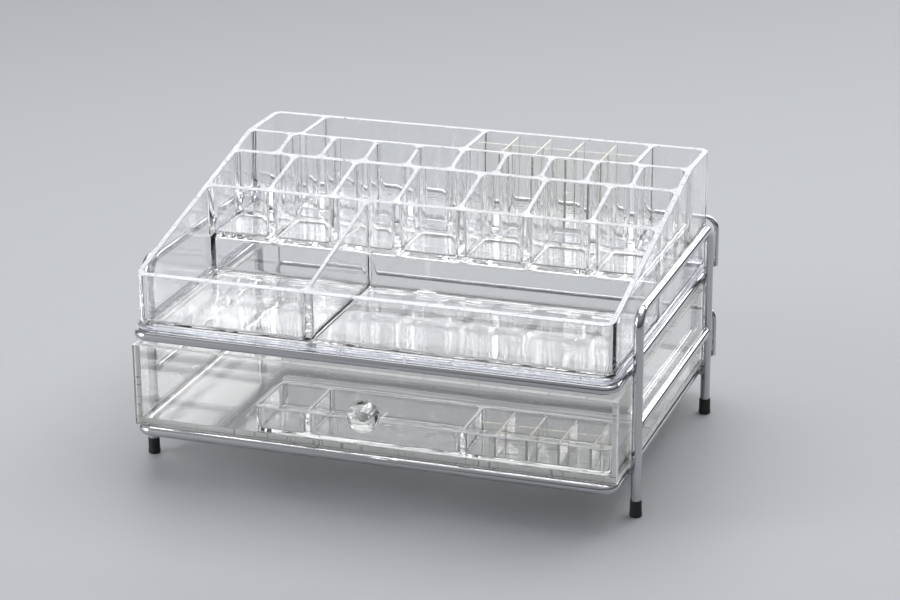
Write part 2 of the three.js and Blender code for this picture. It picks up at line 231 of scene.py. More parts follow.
# %% [markdown]
# ## Effects that several finishes share
# Clear plastic is never perfect: it carries dust, fine rub marks and a slow ripple left by the mould.
# Each effect is a shader node group with named inputs and outputs, so the moulded tray, the sheet
# drawer and the ball knob can use the same effect with their own values. A group gives only masks
# and heights. The shader itself, with its clearness and index of refraction, stays in the material.

# %% Shader node groups
def add_group(name, kind, inputs, outputs):
    """An empty node group with its sockets: (name, type, default) for inputs, (name, type) for outputs."""
    tree = bpy.data.node_groups.new(name, kind)
    for label, socket_type, default in inputs:
        socket = tree.interface.new_socket(label, in_out="INPUT", socket_type=socket_type)
        if default is not None:
            socket.default_value = default
    for label, socket_type in outputs:
        tree.interface.new_socket(label, in_out="OUTPUT", socket_type=socket_type)
    return tree, tree.nodes.new("NodeGroupInput").outputs, tree.nodes.new("NodeGroupOutput").inputs


def add_node(tree, kind, settings=None, **values):
    """A node with its settings and its socket values, where a socket value may be another node's output."""
    node = tree.nodes.new(kind)
    for key, value in (settings or {}).items():
        setattr(node, key, value)
    for key, value in values.items():
        label = key.replace("_", " ")
        socket = node.inputs[int(key[1:])] if key[0] == "i" and key[1:].isdigit() else node.inputs[label]
        if isinstance(value, bpy.types.NodeSocket):
            tree.links.new(value, socket)
        else:
            socket.default_value = value
    return node


def math_node(tree, operation, first, second=0.0):
    return add_node(tree, "ShaderNodeMath", {"operation": operation}, i0=first, i1=second).outputs[0]


def ramp(tree, value, low, high):
    """A smooth step from 0 at low to 1 at high."""
    return add_node(tree, "ShaderNodeMapRange", {"interpolation_type": "SMOOTHSTEP"},
                    Value=value, From_Min=low, From_Max=high).outputs["Result"]


def object_place(tree):
    return tree.nodes.new("ShaderNodeTexCoord").outputs["Object"]


def stretched_noise(tree, given, scale, detail, roughness):
    """Noise that the group's Stretch input draws out along an axis."""
    drawn = add_node(tree, "ShaderNodeMapping", Vector=object_place(tree), Scale=given["Stretch"])
    return add_node(tree, "ShaderNodeTexNoise", Vector=drawn.outputs["Vector"],
                    Scale=scale, Detail=detail, Roughness=roughness).outputs["Fac"]


FLOAT, VECTOR = "NodeSocketFloat", "NodeSocketVector"


def make_dust():
    """Scattered specks: the middle of some Voronoi cells."""
    tree, given, result = add_group(
        "dust_specks", "ShaderNodeTree",
        [("Scale", FLOAT, 400.0), ("Size", FLOAT, 0.16), ("Share", FLOAT, 0.3)], [("Mask", FLOAT)])
    cells = add_node(tree, "ShaderNodeTexVoronoi", Vector=object_place(tree), Scale=given["Scale"])
    chosen = add_node(tree, "ShaderNodeSeparateColor", Color=cells.outputs["Color"]).outputs["Red"]
    keep = math_node(tree, "LESS_THAN", chosen, given["Share"])
    inside = math_node(tree, "LESS_THAN", cells.outputs["Distance"], given["Size"])
    tree.links.new(math_node(tree, "MULTIPLY", keep, inside), result["Mask"])
    return tree


def make_rub_marks():
    """Faint streaks and smudges from handling, long in one direction."""
    tree, given, result = add_group(
        "rub_marks", "ShaderNodeTree",
        [("Scale", FLOAT, 60.0), ("Stretch", VECTOR, (1.0, 1.0, 1.0)), ("Cover", FLOAT, 0.4)],
        [("Mask", FLOAT)])
    streaks = stretched_noise(tree, given, given["Scale"], 6.0, 0.65)
    edge = math_node(tree, "SUBTRACT", 0.78, math_node(tree, "MULTIPLY", given["Cover"], 0.4))
    upper = math_node(tree, "ADD", edge, 0.22)
    tree.links.new(ramp(tree, streaks, edge, upper), result["Mask"])
    return tree


def make_ripple():
    """The slow waviness of a moulded or cast face, as a height."""
    tree, given, result = add_group(
        "mould_ripple", "ShaderNodeTree",
        [("Scale", FLOAT, 60.0), ("Stretch", VECTOR, (1.0, 1.0, 1.0))], [("Height", FLOAT)])
    tree.links.new(stretched_noise(tree, given, given["Scale"], 1.0, 0.4), result["Height"])
    return tree


def make_saw_grain():
    """Saw and router marks across the thickness of a cut sheet, with darker chipped ticks."""
    tree, given, result = add_group(
        "saw_grain", "ShaderNodeTree",
        [("Scale", FLOAT, 900.0), ("Stretch", VECTOR, (1.0, 1.0, 1.0)), ("Level", FLOAT, 0.60)],
        [("Height", FLOAT), ("Ticks", FLOAT)])
    lines = stretched_noise(tree, given, given["Scale"], 3.0, 0.7)
    coarse = math_node(tree, "MULTIPLY", given["Scale"], 0.27)
    chips = stretched_noise(tree, given, coarse, 4.0, 0.8)
    tree.links.new(lines, result["Height"])
    full = math_node(tree, "ADD", given["Level"], 0.08)
    tree.links.new(ramp(tree, chips, given["Level"], full), result["Ticks"])
    return tree


dust_specks = make_dust()
rub_marks = make_rub_marks()
mould_ripple = make_ripple()
saw_grain = make_saw_grain()
print("shader groups:", ", ".join(t.name for t in (dust_specks, rub_marks, mould_ripple, saw_grain)))

# %% [markdown]
# ## Clear acrylic
# Acrylic is a glass with an index of refraction of 1.49. The Principled shader makes it with a
# Transmission Weight of 1. What makes it look real is what happens on the surface: dust that
# scatters light, rub marks that dull the polish a little, and the ripple that bends reflections.

# %% Materials for the clear pieces
ACRYLIC_IOR = 1.49


def new_material(name):
    material = bpy.data.materials.new(name)
    material.use_nodes = True
    tree = material.node_tree
    return material, tree, tree.nodes["Principled BSDF"]


def use_group(tree, group, **values):
    node = tree.nodes.new("ShaderNodeGroup")
    node.node_tree = group
    for label, value in values.items():
        node.inputs[label].default_value = value
    return node


def shaded(colour, share):
    return tuple(channel * share for channel in colour)


def mix_colour(tree, mask, first, second):
    """The first colour, and the second where the mask is full."""
    return add_node(tree, "ShaderNodeMix", {"data_type": "RGBA"},
                    i0=mask, i6=(*first, 1.0), i7=(*second, 1.0)).outputs[2]


def set_roughness(tree, shader, mask, amount, base):
    """Roughness that goes from its base by an amount where the mask is full."""
    change = math_node(tree, "MULTIPLY", mask, amount)
    tree.links.new(math_node(tree, "ADD", change, base), shader.inputs["Roughness"])


def set_bump(tree, shader, height, strength, distance):
    bump = add_node(tree, "ShaderNodeBump", Height=height, Strength=strength, Distance=distance)
    tree.links.new(bump.outputs["Normal"], shader.inputs["Normal"])


def clear_acrylic(name, tint, polish, dulled, dust, ripple, stretch=(1.0, 1.0, 1.0)):
    """Clear plastic with its own dust, rub marks and ripple."""
    material, tree, shader = new_material(name)
    shader.inputs["Transmission Weight"].default_value = 1.0
    shader.inputs["IOR"].default_value = ACRYLIC_IOR
    specks = use_group(tree, dust_specks, Scale=dust[0], Size=dust[1], Share=dust[2])
    rubbed = use_group(tree, rub_marks, Scale=55.0, Stretch=(1.0, 1.0, 0.25), Cover=0.35)
    waves = use_group(tree, mould_ripple, Scale=ripple[0], Stretch=stretch)
    tree.links.new(mix_colour(tree, specks.outputs["Mask"], tint, (0.86, 0.86, 0.84)),
                   shader.inputs["Base Color"])
    dull = math_node(tree, "MULTIPLY", rubbed.outputs["Mask"], dulled)
    spotted = math_node(tree, "MULTIPLY", specks.outputs["Mask"], 0.5)
    rough = math_node(tree, "ADD", math_node(tree, "ADD", dull, spotted), polish)
    tree.links.new(rough, shader.inputs["Roughness"])
    set_bump(tree, shader, waves.outputs["Height"], 1.0, ripple[1])
    return material


moulded_acrylic = clear_acrylic(
    "moulded_acrylic", tint=(0.996, 0.997, 1.0), polish=0.0, dulled=0.05,
    dust=(420.0, 0.10, 0.16), ripple=(42.0, 0.00022), stretch=(1.0, 1.0, 0.35))
sheet_acrylic = clear_acrylic(
    "sheet_acrylic", tint=(0.996, 0.997, 0.990), polish=0.0, dulled=0.06,
    dust=(380.0, 0.11, 0.22), ripple=(20.0, 0.00008))
knob_acrylic = clear_acrylic(
    "knob_acrylic", tint=(0.990, 0.990, 0.975), polish=0.0, dulled=0.04,
    dust=(600.0, 0.09, 0.1), ripple=(120.0, 0.00002))
cream_divider = clear_acrylic(
    "cream_divider", tint=(0.992, 0.988, 0.965), polish=0.01, dulled=0.12,
    dust=(520.0, 0.10, 0.15), ripple=(90.0, 0.00006))


def edge_highlight_and_frost(name, tint, polish, dulled, clearness=0.35):
    """A pale, partly clear edge of the same plastic, duller where it left the mould, with dark ticks and
    darker patches. On the tray's rims and flange the pale colour is a painted highlight that stands in for
    light glinting along the edge; on the divider edges it is partly the cut edge's own frosting and partly a
    painted highlight; in the drilled bore it is the bore's own frosting.
    """
    material, tree, shader = new_material(name)
    shader.inputs["Transmission Weight"].default_value = clearness
    shader.inputs["IOR"].default_value = ACRYLIC_IOR
    ticks = use_group(tree, saw_grain, Scale=1400.0, Level=0.56)
    rubbed = use_group(tree, rub_marks, Scale=160.0, Cover=0.7)
    # The pale tint is the painted highlight on rims, flange and divider edges; ticks and patches darken it
    # in places.
    ticked = mix_colour(tree, ticks.outputs["Ticks"], tint, shaded(tint, 0.35))
    patches = use_group(tree, rub_marks, Scale=70.0, Cover=0.55)
    darker_patch_share = math_node(tree, "MULTIPLY", patches.outputs["Mask"], 0.3)
    patched = mix_colour(tree, darker_patch_share, tint, shaded(tint, 0.6))
    marked = add_node(tree, "ShaderNodeMix", {"data_type": "RGBA", "blend_type": "MULTIPLY"},
                      i0=1.0, i6=ticked, i7=patched)
    tree.links.new(marked.outputs[2], shader.inputs["Base Color"])
    set_roughness(tree, shader, rubbed.outputs["Mask"], dulled, polish)
    set_bump(tree, shader, rubbed.outputs["Mask"], 0.5, 0.06 * MM)
    return material


# Painted highlight: the rims get a pale, only partly clear colour that stands in for light glinting along
# their tops.
tray_rim = edge_highlight_and_frost("tray_rim", tint=(0.94, 0.945, 0.965), polish=0.08, dulled=0.25)
# Painted highlight: the flange's pale blue-white, partly clear colour stands in for the bright band of light
# along the flange.
tray_flange = edge_highlight_and_frost("tray_flange", tint=(0.93, 0.95, 1.0), polish=0.04, dulled=0.3, clearness=0.72)


# How far light spreads inside the rough skin of a sawn edge before it comes out again.
EDGE_SCATTER = 3 * MM


def sawn_edge(name, stretch):
    """The cut edge of a sheet: grained, a little yellow-grey, with dark chipped ticks."""
    material, tree, shader = new_material(name)
    shader.inputs["Subsurface Weight"].default_value = 1.0
    shader.inputs["Subsurface Radius"].default_value = (1.0, 1.0, 1.0)
    shader.inputs["Subsurface Scale"].default_value = EDGE_SCATTER
    shader.inputs["IOR"].default_value = ACRYLIC_IOR
    grain = use_group(tree, saw_grain, Scale=1100.0, Stretch=stretch, Level=0.56)
    grained = mix_colour(tree, grain.outputs["Ticks"], (1.0, 0.995, 0.95), (0.52, 0.52, 0.47))
    tree.links.new(grained, shader.inputs["Base Color"])
    set_roughness(tree, shader, grain.outputs["Height"], 0.35, 0.02)
    set_bump(tree, shader, grain.outputs["Height"], 0.6, 0.25 * MM)
    return material


drilled_acrylic = edge_highlight_and_frost(
    "drilled_acrylic", tint=(0.97, 0.97, 0.95), polish=0.12, dulled=0.3, clearness=0.9)
# The divider plates' narrow faces: pale cream, partly the cut edge's own frosting and partly a painted
# highlight along their top edges.
divider_edge = edge_highlight_and_frost("divider_edge", tint=(0.97, 0.955, 0.90), polish=0.18, dulled=0.2)
# The grain runs across the sheet, so it is stretched along the sheet's thin axis.
ACROSS = {"x": (0.06, 1.0, 1.0), "y": (1.0, 0.06, 1.0), "z": (1.0, 1.0, 0.06)}
edge_finish = {axis: sawn_edge(f"sawn_edge_{axis}", ACROSS[axis]) for axis in ACROSS}
print("clear finishes ready")

# %% [markdown]
# ## Chrome, steel and rubber
# Chrome plate on drawn wire is a near mirror with fine pits and a few duller patches. The zinc-plated
# screw is duller and slightly blue. The rubber caps are matt, with dust in their skin.

# %% Materials for the rack
def plated_metal(name, colour, polish, dulled, pits):
    material, tree, shader = new_material(name)
    shader.inputs["Metallic"].default_value = 1.0
    rubbed = use_group(tree, rub_marks, Scale=140.0, Cover=0.6)
    specks = use_group(tree, dust_specks, Scale=900.0, Size=0.14, Share=pits)
    tree.links.new(mix_colour(tree, specks.outputs["Mask"], colour, shaded(colour, 0.62)),
                   shader.inputs["Base Color"])
    set_roughness(tree, shader, rubbed.outputs["Mask"], dulled, polish)
    set_bump(tree, shader, rubbed.outputs["Mask"], 0.3, 0.04 * MM)
    return material


def matt_rubber(name):
    material, tree, shader = new_material(name)
    rubbed = use_group(tree, rub_marks, Scale=300.0, Stretch=(1.0, 1.0, 0.4), Cover=0.8)
    specks = use_group(tree, dust_specks, Scale=1500.0, Size=0.2, Share=0.15)
    tree.links.new(mix_colour(tree, specks.outputs["Mask"], (0.014, 0.014, 0.014), (0.06, 0.06, 0.058)),
                   shader.inputs["Base Color"])
    set_roughness(tree, shader, rubbed.outputs["Mask"], -0.16, 0.66)
    set_bump(tree, shader, rubbed.outputs["Mask"], 0.4, 0.1 * MM)
    return material


chromed_wire = plated_metal("chromed_wire", (0.55, 0.555, 0.57), polish=0.015, dulled=0.05, pits=0.08)
weld_metal = plated_metal("weld_metal", (0.46, 0.46, 0.47), polish=0.16, dulled=0.22, pits=0.3)
screw_steel = plated_metal("screw_steel", (0.60, 0.61, 0.64), polish=0.22, dulled=0.2, pits=0.2)
rubber_feet = matt_rubber("rubber_feet")
print("metal and rubber finishes ready")

# %% [markdown]
# ## Geometry Nodes tools
# Four small trees do the work that repeats. "bent_wire" turns a plain route of straight lines into
# round wire with bent corners. "row_of" repeats a piece at an even pitch. "on_points" puts a piece on
# every point of a mesh. "hollow_out" cuts one solid out of another.

# %% Geometry Nodes trees
GEOMETRY, INTEGER = "NodeSocketGeometry", "NodeSocketInt"
MATERIAL, OBJECT = "NodeSocketMaterial", "NodeSocketObject"


def finish_tree(tree, geometry, given, result):
    """Every tree ends in plain geometry with its material set."""
    plain = add_node(tree, "GeometryNodeRealizeInstances", Geometry=geometry)
    painted = add_node(tree, "GeometryNodeSetMaterial", Geometry=plain.outputs[0],
                       Material=given["Material"])
    tree.links.new(painted.outputs[0], result["Geometry"])
    return tree


def start_tree(name, *inputs):
    """Every tree takes a shape, its own sizes and a material, and gives a shape."""
    return add_group(name, "GeometryNodeTree",
                     [("Geometry", GEOMETRY, None), *inputs, ("Material", MATERIAL, None)],
                     [("Geometry", GEOMETRY)])


def make_bent_wire():
    tree, given, result = start_tree(
        "bent_wire", ("Diameter", FLOAT, 0.006), ("Bend Radius", FLOAT, 0.009),
        ("Bend Steps", INTEGER, 10), ("Sides", INTEGER, 32))
    route = add_node(tree, "GeometryNodeMeshToCurve", Mesh=given["Geometry"])
    bends = add_node(tree, "GeometryNodeFilletCurve", {"mode": "POLY"}, Curve=route.outputs[0],
                     Count=given["Bend Steps"], Radius=given["Bend Radius"])
    section = add_node(tree, "GeometryNodeCurvePrimitiveCircle", Resolution=given["Sides"],
                       Radius=math_node(tree, "DIVIDE", given["Diameter"], 2.0))
    wire = add_node(tree, "GeometryNodeCurveToMesh", Curve=bends.outputs[0],
                    Profile_Curve=section.outputs[0], Fill_Caps=True)
    return finish_tree(tree, wire.outputs[0], given, result)


def make_row_of():
    tree, given, result = start_tree(
        "row_of", ("Count", INTEGER, 2), ("Pitch", VECTOR, (0.02, 0.0, 0.0)))
    places = add_node(tree, "GeometryNodeMeshLine", Count=given["Count"],
                      Offset=given["Pitch"])
    copies = add_node(tree, "GeometryNodeInstanceOnPoints", Points=places.outputs[0],
                      Instance=given["Geometry"])
    return finish_tree(tree, copies.outputs[0], given, result)


def make_on_points():
    tree, given, result = start_tree("on_points", ("Piece", OBJECT, None))
    piece = add_node(tree, "GeometryNodeObjectInfo", Object=given["Piece"])
    copies = add_node(tree, "GeometryNodeInstanceOnPoints", Points=given["Geometry"],
                      Instance=piece.outputs["Geometry"])
    return finish_tree(tree, copies.outputs[0], given, result)


def make_hollow_out():
    tree, given, result = start_tree("hollow_out", ("Hollow", OBJECT, None))
    hollow = add_node(tree, "GeometryNodeObjectInfo", Object=given["Hollow"])
    cut = add_node(tree, "GeometryNodeMeshBoolean", {"operation": "DIFFERENCE", "solver": "MANIFOLD"})
    tree.links.new(given["Geometry"], cut.inputs[0])
    tree.links.new(hollow.outputs["Geometry"], cut.inputs[1])
    return finish_tree(tree, cut.outputs[0], given, result)


bent_wire, row_of = make_bent_wire(), make_row_of()
on_points, hollow_out = make_on_points(), make_hollow_out()


def apply_tree(item, tree, **values):
    """Runs a Geometry Nodes tree on an object, with inputs set by identifier, and keeps the plain mesh."""
    modifier = item.modifiers.new(tree.name, "NODES")
    modifier.node_group = tree
    for socket in tree.interface.items_tree:
        label = socket.name.replace(" ", "_")
        if socket.in_out == "INPUT" and label in values:
            modifier[socket.identifier] = values[label]
    return settle(item)


def discard(*items):
    for item in items:
        bpy.data.objects.remove(item)


print("trees:", ", ".join(t.name for t in (bent_wire, row_of, on_points, hollow_out)))

# %% [markdown]
# ## Rack wires
# The rack is drawn steel wire, bent, welded and then chromed. Each wire follows a simple route: up one
# leg, across the top and down the other, or round a rectangle. The route is drawn as straight lines
# from the frame's own boxes, and the bent_wire tree rounds the corners and gives it its thickness.

# %% Rack wires
WIRE = 6 * MM
GUARD_WIRE = 3 * MM
FRAME_BEND = 9 * MM
LOOP_BEND = 7 * MM
GUARD_BEND = 8 * MM


def route_object(name, routes, closed=False):
    """Straight lines through the points of each route, with no thickness yet."""
    points, edges = [], []
    for route in routes:
        first = len(points)
        points += route
        edges += [(first + i, first + i + 1) for i in range(len(route) - 1)]
        if closed:
            edges.append((len(points) - 1, first))
    mesh = bpy.data.meshes.new(name)
    mesh.from_pydata(points, edges, [])
    return place_object(name, mesh)


def arch_route(node, radius, axis):
    """Up, across and down along one axis, inside a node's box."""
    low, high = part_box(node)
    middle = (low + high) / 2
    top = high.z - radius
    route = []
    for end, height in ((low, low.z), (low, top), (high, top), (high, low.z)):
        inset = radius if end is low else -radius
        if axis == "y":
            route.append((middle.x, end.y + inset, height))
        else:
            route.append((end.x + inset, middle.y, height))
    return route


def loop_route(node):
    low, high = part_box(node)
    reach = WIRE / 2
    return rectangle(low.x + reach, high.x - reach, low.y + reach, high.y - reach, (low.z + high.z) / 2)


def rail_route(node):
    low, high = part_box(node)
    middle = (low + high) / 2
    return [(middle.x, low.y, middle.z), (middle.x, high.y, middle.z)]


def make_wires(name, nodes, routes, diameter, bend, closed=False, sides=32):
    """The wires of several nodes as one piece, which stands for them."""
    item = route_object(name, routes, closed)
    apply_tree(item, bent_wire, Diameter=diameter, Bend_Radius=bend, Bend_Steps=12, Sides=sides,
               Material=chromed_wire)
    stand_for(smooth(item), "rack", "chromed_wire", *nodes)


SIDES = ("left", "right")
FRAMES = [f"{side}_side_frame" for side in SIDES]
RAILS = [f"{side}_side_rail" for side in SIDES]
LOOPS = ("lower_shelf_loop", "upper_shelf_loop")
GUARDS = ("lower_back_guard", "upper_back_guard")
make_wires("side_frames", FRAMES, [arch_route(n, WIRE / 2, "y") for n in FRAMES], WIRE, FRAME_BEND)
make_wires("side_rails", RAILS, [rail_route(n) for n in RAILS], WIRE, 0.0)
make_wires("shelf_loops", LOOPS, [loop_route(n) for n in LOOPS], WIRE, LOOP_BEND, closed=True)
make_wires("back_guards", GUARDS, [arch_route(n, GUARD_WIRE / 2, "x") for n in GUARDS],
           GUARD_WIRE, GUARD_BEND, sides=20)

# %% [markdown]
# ## Welds
# Where two wires touch, the welder's spot leaves a small bead that the chrome covers. A bead is a
# squashed ball, and the on_points tree puts one at every joint: shelf loops against legs, rails
# against legs, and the thin guards against the loops.

# %% Weld beads
BEAD_RINGS = 8


def place_beads(name, half_sizes, places):
    """A ball squashed to three half sizes, in millimetres, at every place."""
    turns = [math.pi * i / BEAD_RINGS for i in range(1, BEAD_RINGS)]
    profile = [(0, -1)] + [(math.sin(turn), -math.cos(turn)) for turn in turns] + [(0, 1)]
    ball = turned("bead_master", profile, sides=16)
    ball.data.transform(Matrix.Diagonal([half * MM for half in half_sizes] + [1.0]))
    spots = route_object(name, [[p] for p in places])
    apply_tree(spots, on_points, Piece=ball, Material=weld_metal)
    discard(ball)
    return spots


def weld_places():
    on_legs, on_rails, on_guards = [], [], []
    for side, sign in (("left", -1), ("right", 1)):
        leg_low, leg_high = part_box(f"{side}_side_frame")
        leg_face = leg_low.x if sign > 0 else leg_high.x
        for node in LOOPS:
            low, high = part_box(node)
            height = (low.z + high.z) / 2
            for y in (leg_low.y + WIRE / 2, leg_high.y - WIRE / 2):
                on_legs.append((leg_face - sign * 0.15 * MM, y, height))
        on_rails += rail_route(f"{side}_side_rail")
        for guard in GUARDS:
            low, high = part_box(guard)
            wire_end = sign * (high.x - GUARD_WIRE / 2)
            on_guards.append((wire_end - sign * 1.6 * MM, (low.y + high.y) / 2, low.z + 0.6 * MM))
    return on_legs, on_rails, on_guards


on_legs, on_rails, on_guards = weld_places()
weld_beads = join("weld_beads", [
    place_beads("leg_beads", (1.3, 2.3, 2.3), on_legs),
    place_beads("rail_beads", (3.35, 1.2, 3.35), on_rails),
    place_beads("guard_beads", (1.1, 1.5, 2.2), on_guards)])
smooth(weld_beads)
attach(weld_beads, "rack")
print("beads:", len(on_legs), "on legs,", len(on_rails), "on rails,", len(on_guards), "on guards")

# %% [markdown]
# ## Rubber feet
# A soft cap is pushed on the end of every leg. It is turned from one profile: a rounded sole, a
# slight flare at the bottom, and a thin lip at the top that grips the wire.

# %% Rubber feet
low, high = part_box("foot_front_left")
FOOT_RADIUS = (high.x - low.x) / 2
FOOT_HEIGHT = high.z - low.z
BORE = WIRE / 2 + 0.12 * MM
# How far in from the widest radius, and how far above the table or below the cap's top, in millimetres.
sole = [(1.0, 0.0), (0.35, 0.2), (0.0, 0.8), (0.0, 1.4), (0.16, 2.8), (0.24, 5.0)]
lip = [(0.26, 0.7), (0.32, 0.25), (0.45, 0.0)]
foot_profile = [(0, 0)] + [(FOOT_RADIUS - inset * MM, up * MM) for inset, up in sole]
foot_profile += [(FOOT_RADIUS - inset * MM, FOOT_HEIGHT - down * MM) for inset, down in lip]
foot_profile += [(BORE, FOOT_HEIGHT), (BORE, 2.5 * MM), (0, 2.5 * MM)]
cap = turned("cap_master", foot_profile, sides=40)
foot_nodes = [f"foot_{end}_{side}" for end in ("front", "rear") for side in SIDES]
spots = []
for node in foot_nodes:
    low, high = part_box(node)
    spots.append([((low.x + high.x) / 2, (low.y + high.y) / 2, 0.0)])
foot_caps = route_object("foot_caps", spots)
apply_tree(foot_caps, on_points, Piece=cap, Material=rubber_feet)
discard(cap)
smooth(foot_caps)
stand_for(foot_caps, "rack", "rubber_feet", *foot_nodes)

# %% [markdown]
# ## The compartment tray
# The tray is one injection moulding. Its outside is a loft that follows the low front lip, the
# straight slope and the level back. Every compartment is a hollow with rounded upright corners, a
# rounded floor and a soft rim that follows the slope. Equal cells are made once and repeated by the
# row_of tree, and hollow_out cuts all of them from the body.

# %% Tray sizes
FLANGE = 3 * MM
OUTER_WALL = 3.4 * MM
INNER_WALL = 2.8 * MM
BIN_DEPTH = 97.9 * MM
SHORT_CELL_DEPTH = 39.7 * MM
TALL_CELL_DEPTH = 23.2 * MM
LEFT_BIN_WIDTH = 101 * MM
END_CELL_WIDTH = 31 * MM
LIP_HEIGHT = 33.7 * MM
BIN_FLOOR = 4 * MM
RAISED_FLOOR = 26.7 * MM
FLOOR_THICKNESS = 2.5 * MM
FLANGE_LEDGE = 7 * MM
CELL_CORNER = 4.2 * MM
LEAST_CORNER = 0.3 * MM
FILLET_STEPS = 5
TRAY_CORNER = 6.5 * MM

tray_low, tray_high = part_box("tray")
BASE, TOP = tray_low.z, tray_high.z
LEFT, RIGHT = tray_low.x + FLANGE, tray_high.x - FLANGE
FRONT, REAR = tray_low.y + FLANGE, tray_high.y - FLANGE
IN_LEFT, IN_RIGHT = LEFT + OUTER_WALL, RIGHT - OUTER_WALL
SHORT_WALL = FRONT + OUTER_WALL + BIN_DEPTH
TALL_WALL = SHORT_WALL + INNER_WALL + SHORT_CELL_DEPTH
BACK_WALL = TALL_WALL + INNER_WALL + TALL_CELL_DEPTH


def rim_height(y):
    """Height of the tray's top edge at a place between its front and its back."""
    share = (y - FRONT) / (BACK_WALL - FRONT)
    return min(TOP, BASE + LIP_HEIGHT + (TOP - BASE - LIP_HEIGHT) * share)


print(f"tray {(RIGHT - LEFT) / MM:.0f} x {(REAR - FRONT) / MM:.0f} mm, "
      f"rim {rim_height(FRONT) / MM:.1f} to {TOP / MM:.1f} mm above the table")

# %% Tray body
RIM_ROUND = [(0.0, -0.75), (0.06, -0.45), (0.22, -0.18), (0.48, 0.0)]


def tray_body():
    # How far in, and how high above the base, in millimetres. The flange stands out by up to 3.
    skirt = [(0.6, 0.0), (-0.9, 0.0), (-2.3, 1.1), (-2.85, 1.7), (-3.0, 2.2), (-2.9, 2.7), (-2.5, 3.05),
             (-1.2, 3.2), (-0.5, 3.5), (-0.12, 4.1), (0.0, 5.0)]
    plan = shrinking_plan(LEFT, RIGHT, FRONT, REAR, TRAY_CORNER, steps=12, fold=BACK_WALL)
    rings = stack(plan, skirt, lambda y: BASE) + stack(plan, RIM_ROUND, rim_height)
    return add_mesh("compartment_tray", *loft(rings, fold=BACK_WALL))


def rounded_end(plan, level, fillet, draft=0.0, up=1):
    """Rings that close a hollow with a quarter round, going up from its floor or down from its ceiling."""
    rings = []
    for step in range(FILLET_STEPS + 1):
        turn = math.radians(90 * step / FILLET_STEPS)
        inset = fillet * (1 - math.sin(turn)) + draft
        height = level + up * fillet * (1 - math.cos(turn))
        rings.append([(x, y, height) for x, y in plan(inset)])
    return rings


def cell_hollow(name, x0, x1, y0, y1, floor, corner=CELL_CORNER, fillet=2.4 * MM, rim=rim_height,
                draft=0.25):
    """The space inside a compartment, a little wider at the rim than the wall below it."""
    plan = shrinking_plan(x0, x1, y0, y1, corner, LEAST_CORNER)
    flare = [(0.0, -0.75), (-0.06, -0.45), (-0.22, -0.18), (-0.62, 0.12), (-0.62, 4.0)]
    return add_mesh(name, *loft(rounded_end(plan, floor, fillet, draft * MM) + stack(plan, flare, rim)))


bin_floor, raised_floor = BASE + BIN_FLOOR, BASE + RAISED_FLOOR


def row_of_cells(name, count, y0, y1):
    """Equal cells from one end wall to the other."""
    width = (IN_RIGHT - IN_LEFT - (count - 1) * INNER_WALL) / count
    row = cell_hollow(name, IN_LEFT, IN_LEFT + width, y0, y1, raised_floor)
    pitch = (width + INNER_WALL, 0.0, 0.0)
    return apply_tree(row, row_of, Count=count, Pitch=pitch, Material=moulded_acrylic)


tray = tray_body()
middle_width = (IN_RIGHT - IN_LEFT - 2 * END_CELL_WIDTH - 3 * INNER_WALL) / 2
back_y0, back_y1 = BACK_WALL + INNER_WALL, REAR - OUTER_WALL
hollows = [
    row_of_cells("short_cells", 7, SHORT_WALL + INNER_WALL, TALL_WALL),
    row_of_cells("tall_cells", 10, TALL_WALL + INNER_WALL, BACK_WALL),
    cell_hollow("left_bin", IN_LEFT, IN_LEFT + LEFT_BIN_WIDTH, FRONT + OUTER_WALL, SHORT_WALL, bin_floor),
    cell_hollow("right_bin", IN_LEFT + LEFT_BIN_WIDTH + INNER_WALL, IN_RIGHT, FRONT + OUTER_WALL, SHORT_WALL,
                bin_floor),
    cell_hollow("back_left", IN_LEFT, IN_LEFT + END_CELL_WIDTH, back_y0, back_y1, raised_floor),
    cell_hollow("back_right", IN_RIGHT - END_CELL_WIDTH, IN_RIGHT, back_y0, back_y1, raised_floor)]
middle_left = IN_LEFT + END_CELL_WIDTH + INNER_WALL
for name, x0 in (("back_wide", middle_left), ("back_grid", middle_left + middle_width + INNER_WALL)):
    hollows.append(cell_hollow(name, x0, x0 + middle_width, back_y0, back_y1, raised_floor))


def underside_hollow(name, x0, x1, y0, y1, ceiling, fillet):
    plan = shrinking_plan(x0, x1, y0, y1, CELL_CORNER, LEAST_CORNER)
    rings = rounded_end(plan, ceiling, fillet, up=-1)
    return add_mesh(name, *loft(rings + stack(plan, [(0.0, -3)], lambda y: BASE)))


ledge = FLANGE_LEDGE - OUTER_WALL
hollows += [
    underside_hollow("under_bins", IN_LEFT + ledge, IN_RIGHT - ledge, FRONT + FLANGE_LEDGE,
                     SHORT_WALL - OUTER_WALL, bin_floor - FLOOR_THICKNESS, 0.8 * MM),
    underside_hollow("under_cells", IN_LEFT, IN_RIGHT, SHORT_WALL + INNER_WALL, REAR - OUTER_WALL,
                     raised_floor - FLOOR_THICKNESS, 2.0 * MM)]

# The round mark where the plastic entered the mould: a shallow dish in the right bin's floor.
GATE_RADIUS = 5.9 * MM
GATE_DEPTH = 0.35 * MM
GATE_PLACE = -5.9 * MM
gate = turned("gate_mark", [
    (0, -GATE_DEPTH), (GATE_RADIUS, -GATE_DEPTH), (GATE_RADIUS + 0.4 * MM, -0.1 * MM),
    (GATE_RADIUS + 0.8 * MM, 0.3 * MM), (0, 0.3 * MM)])
shift(gate, 0, GATE_PLACE, bin_floor)
hollows.append(gate)
for hollow in hollows:
    apply_tree(tray, hollow_out, Hollow=hollow, Material=moulded_acrylic)
discard(*hollows)
smooth(tray, sharp_degrees=35)


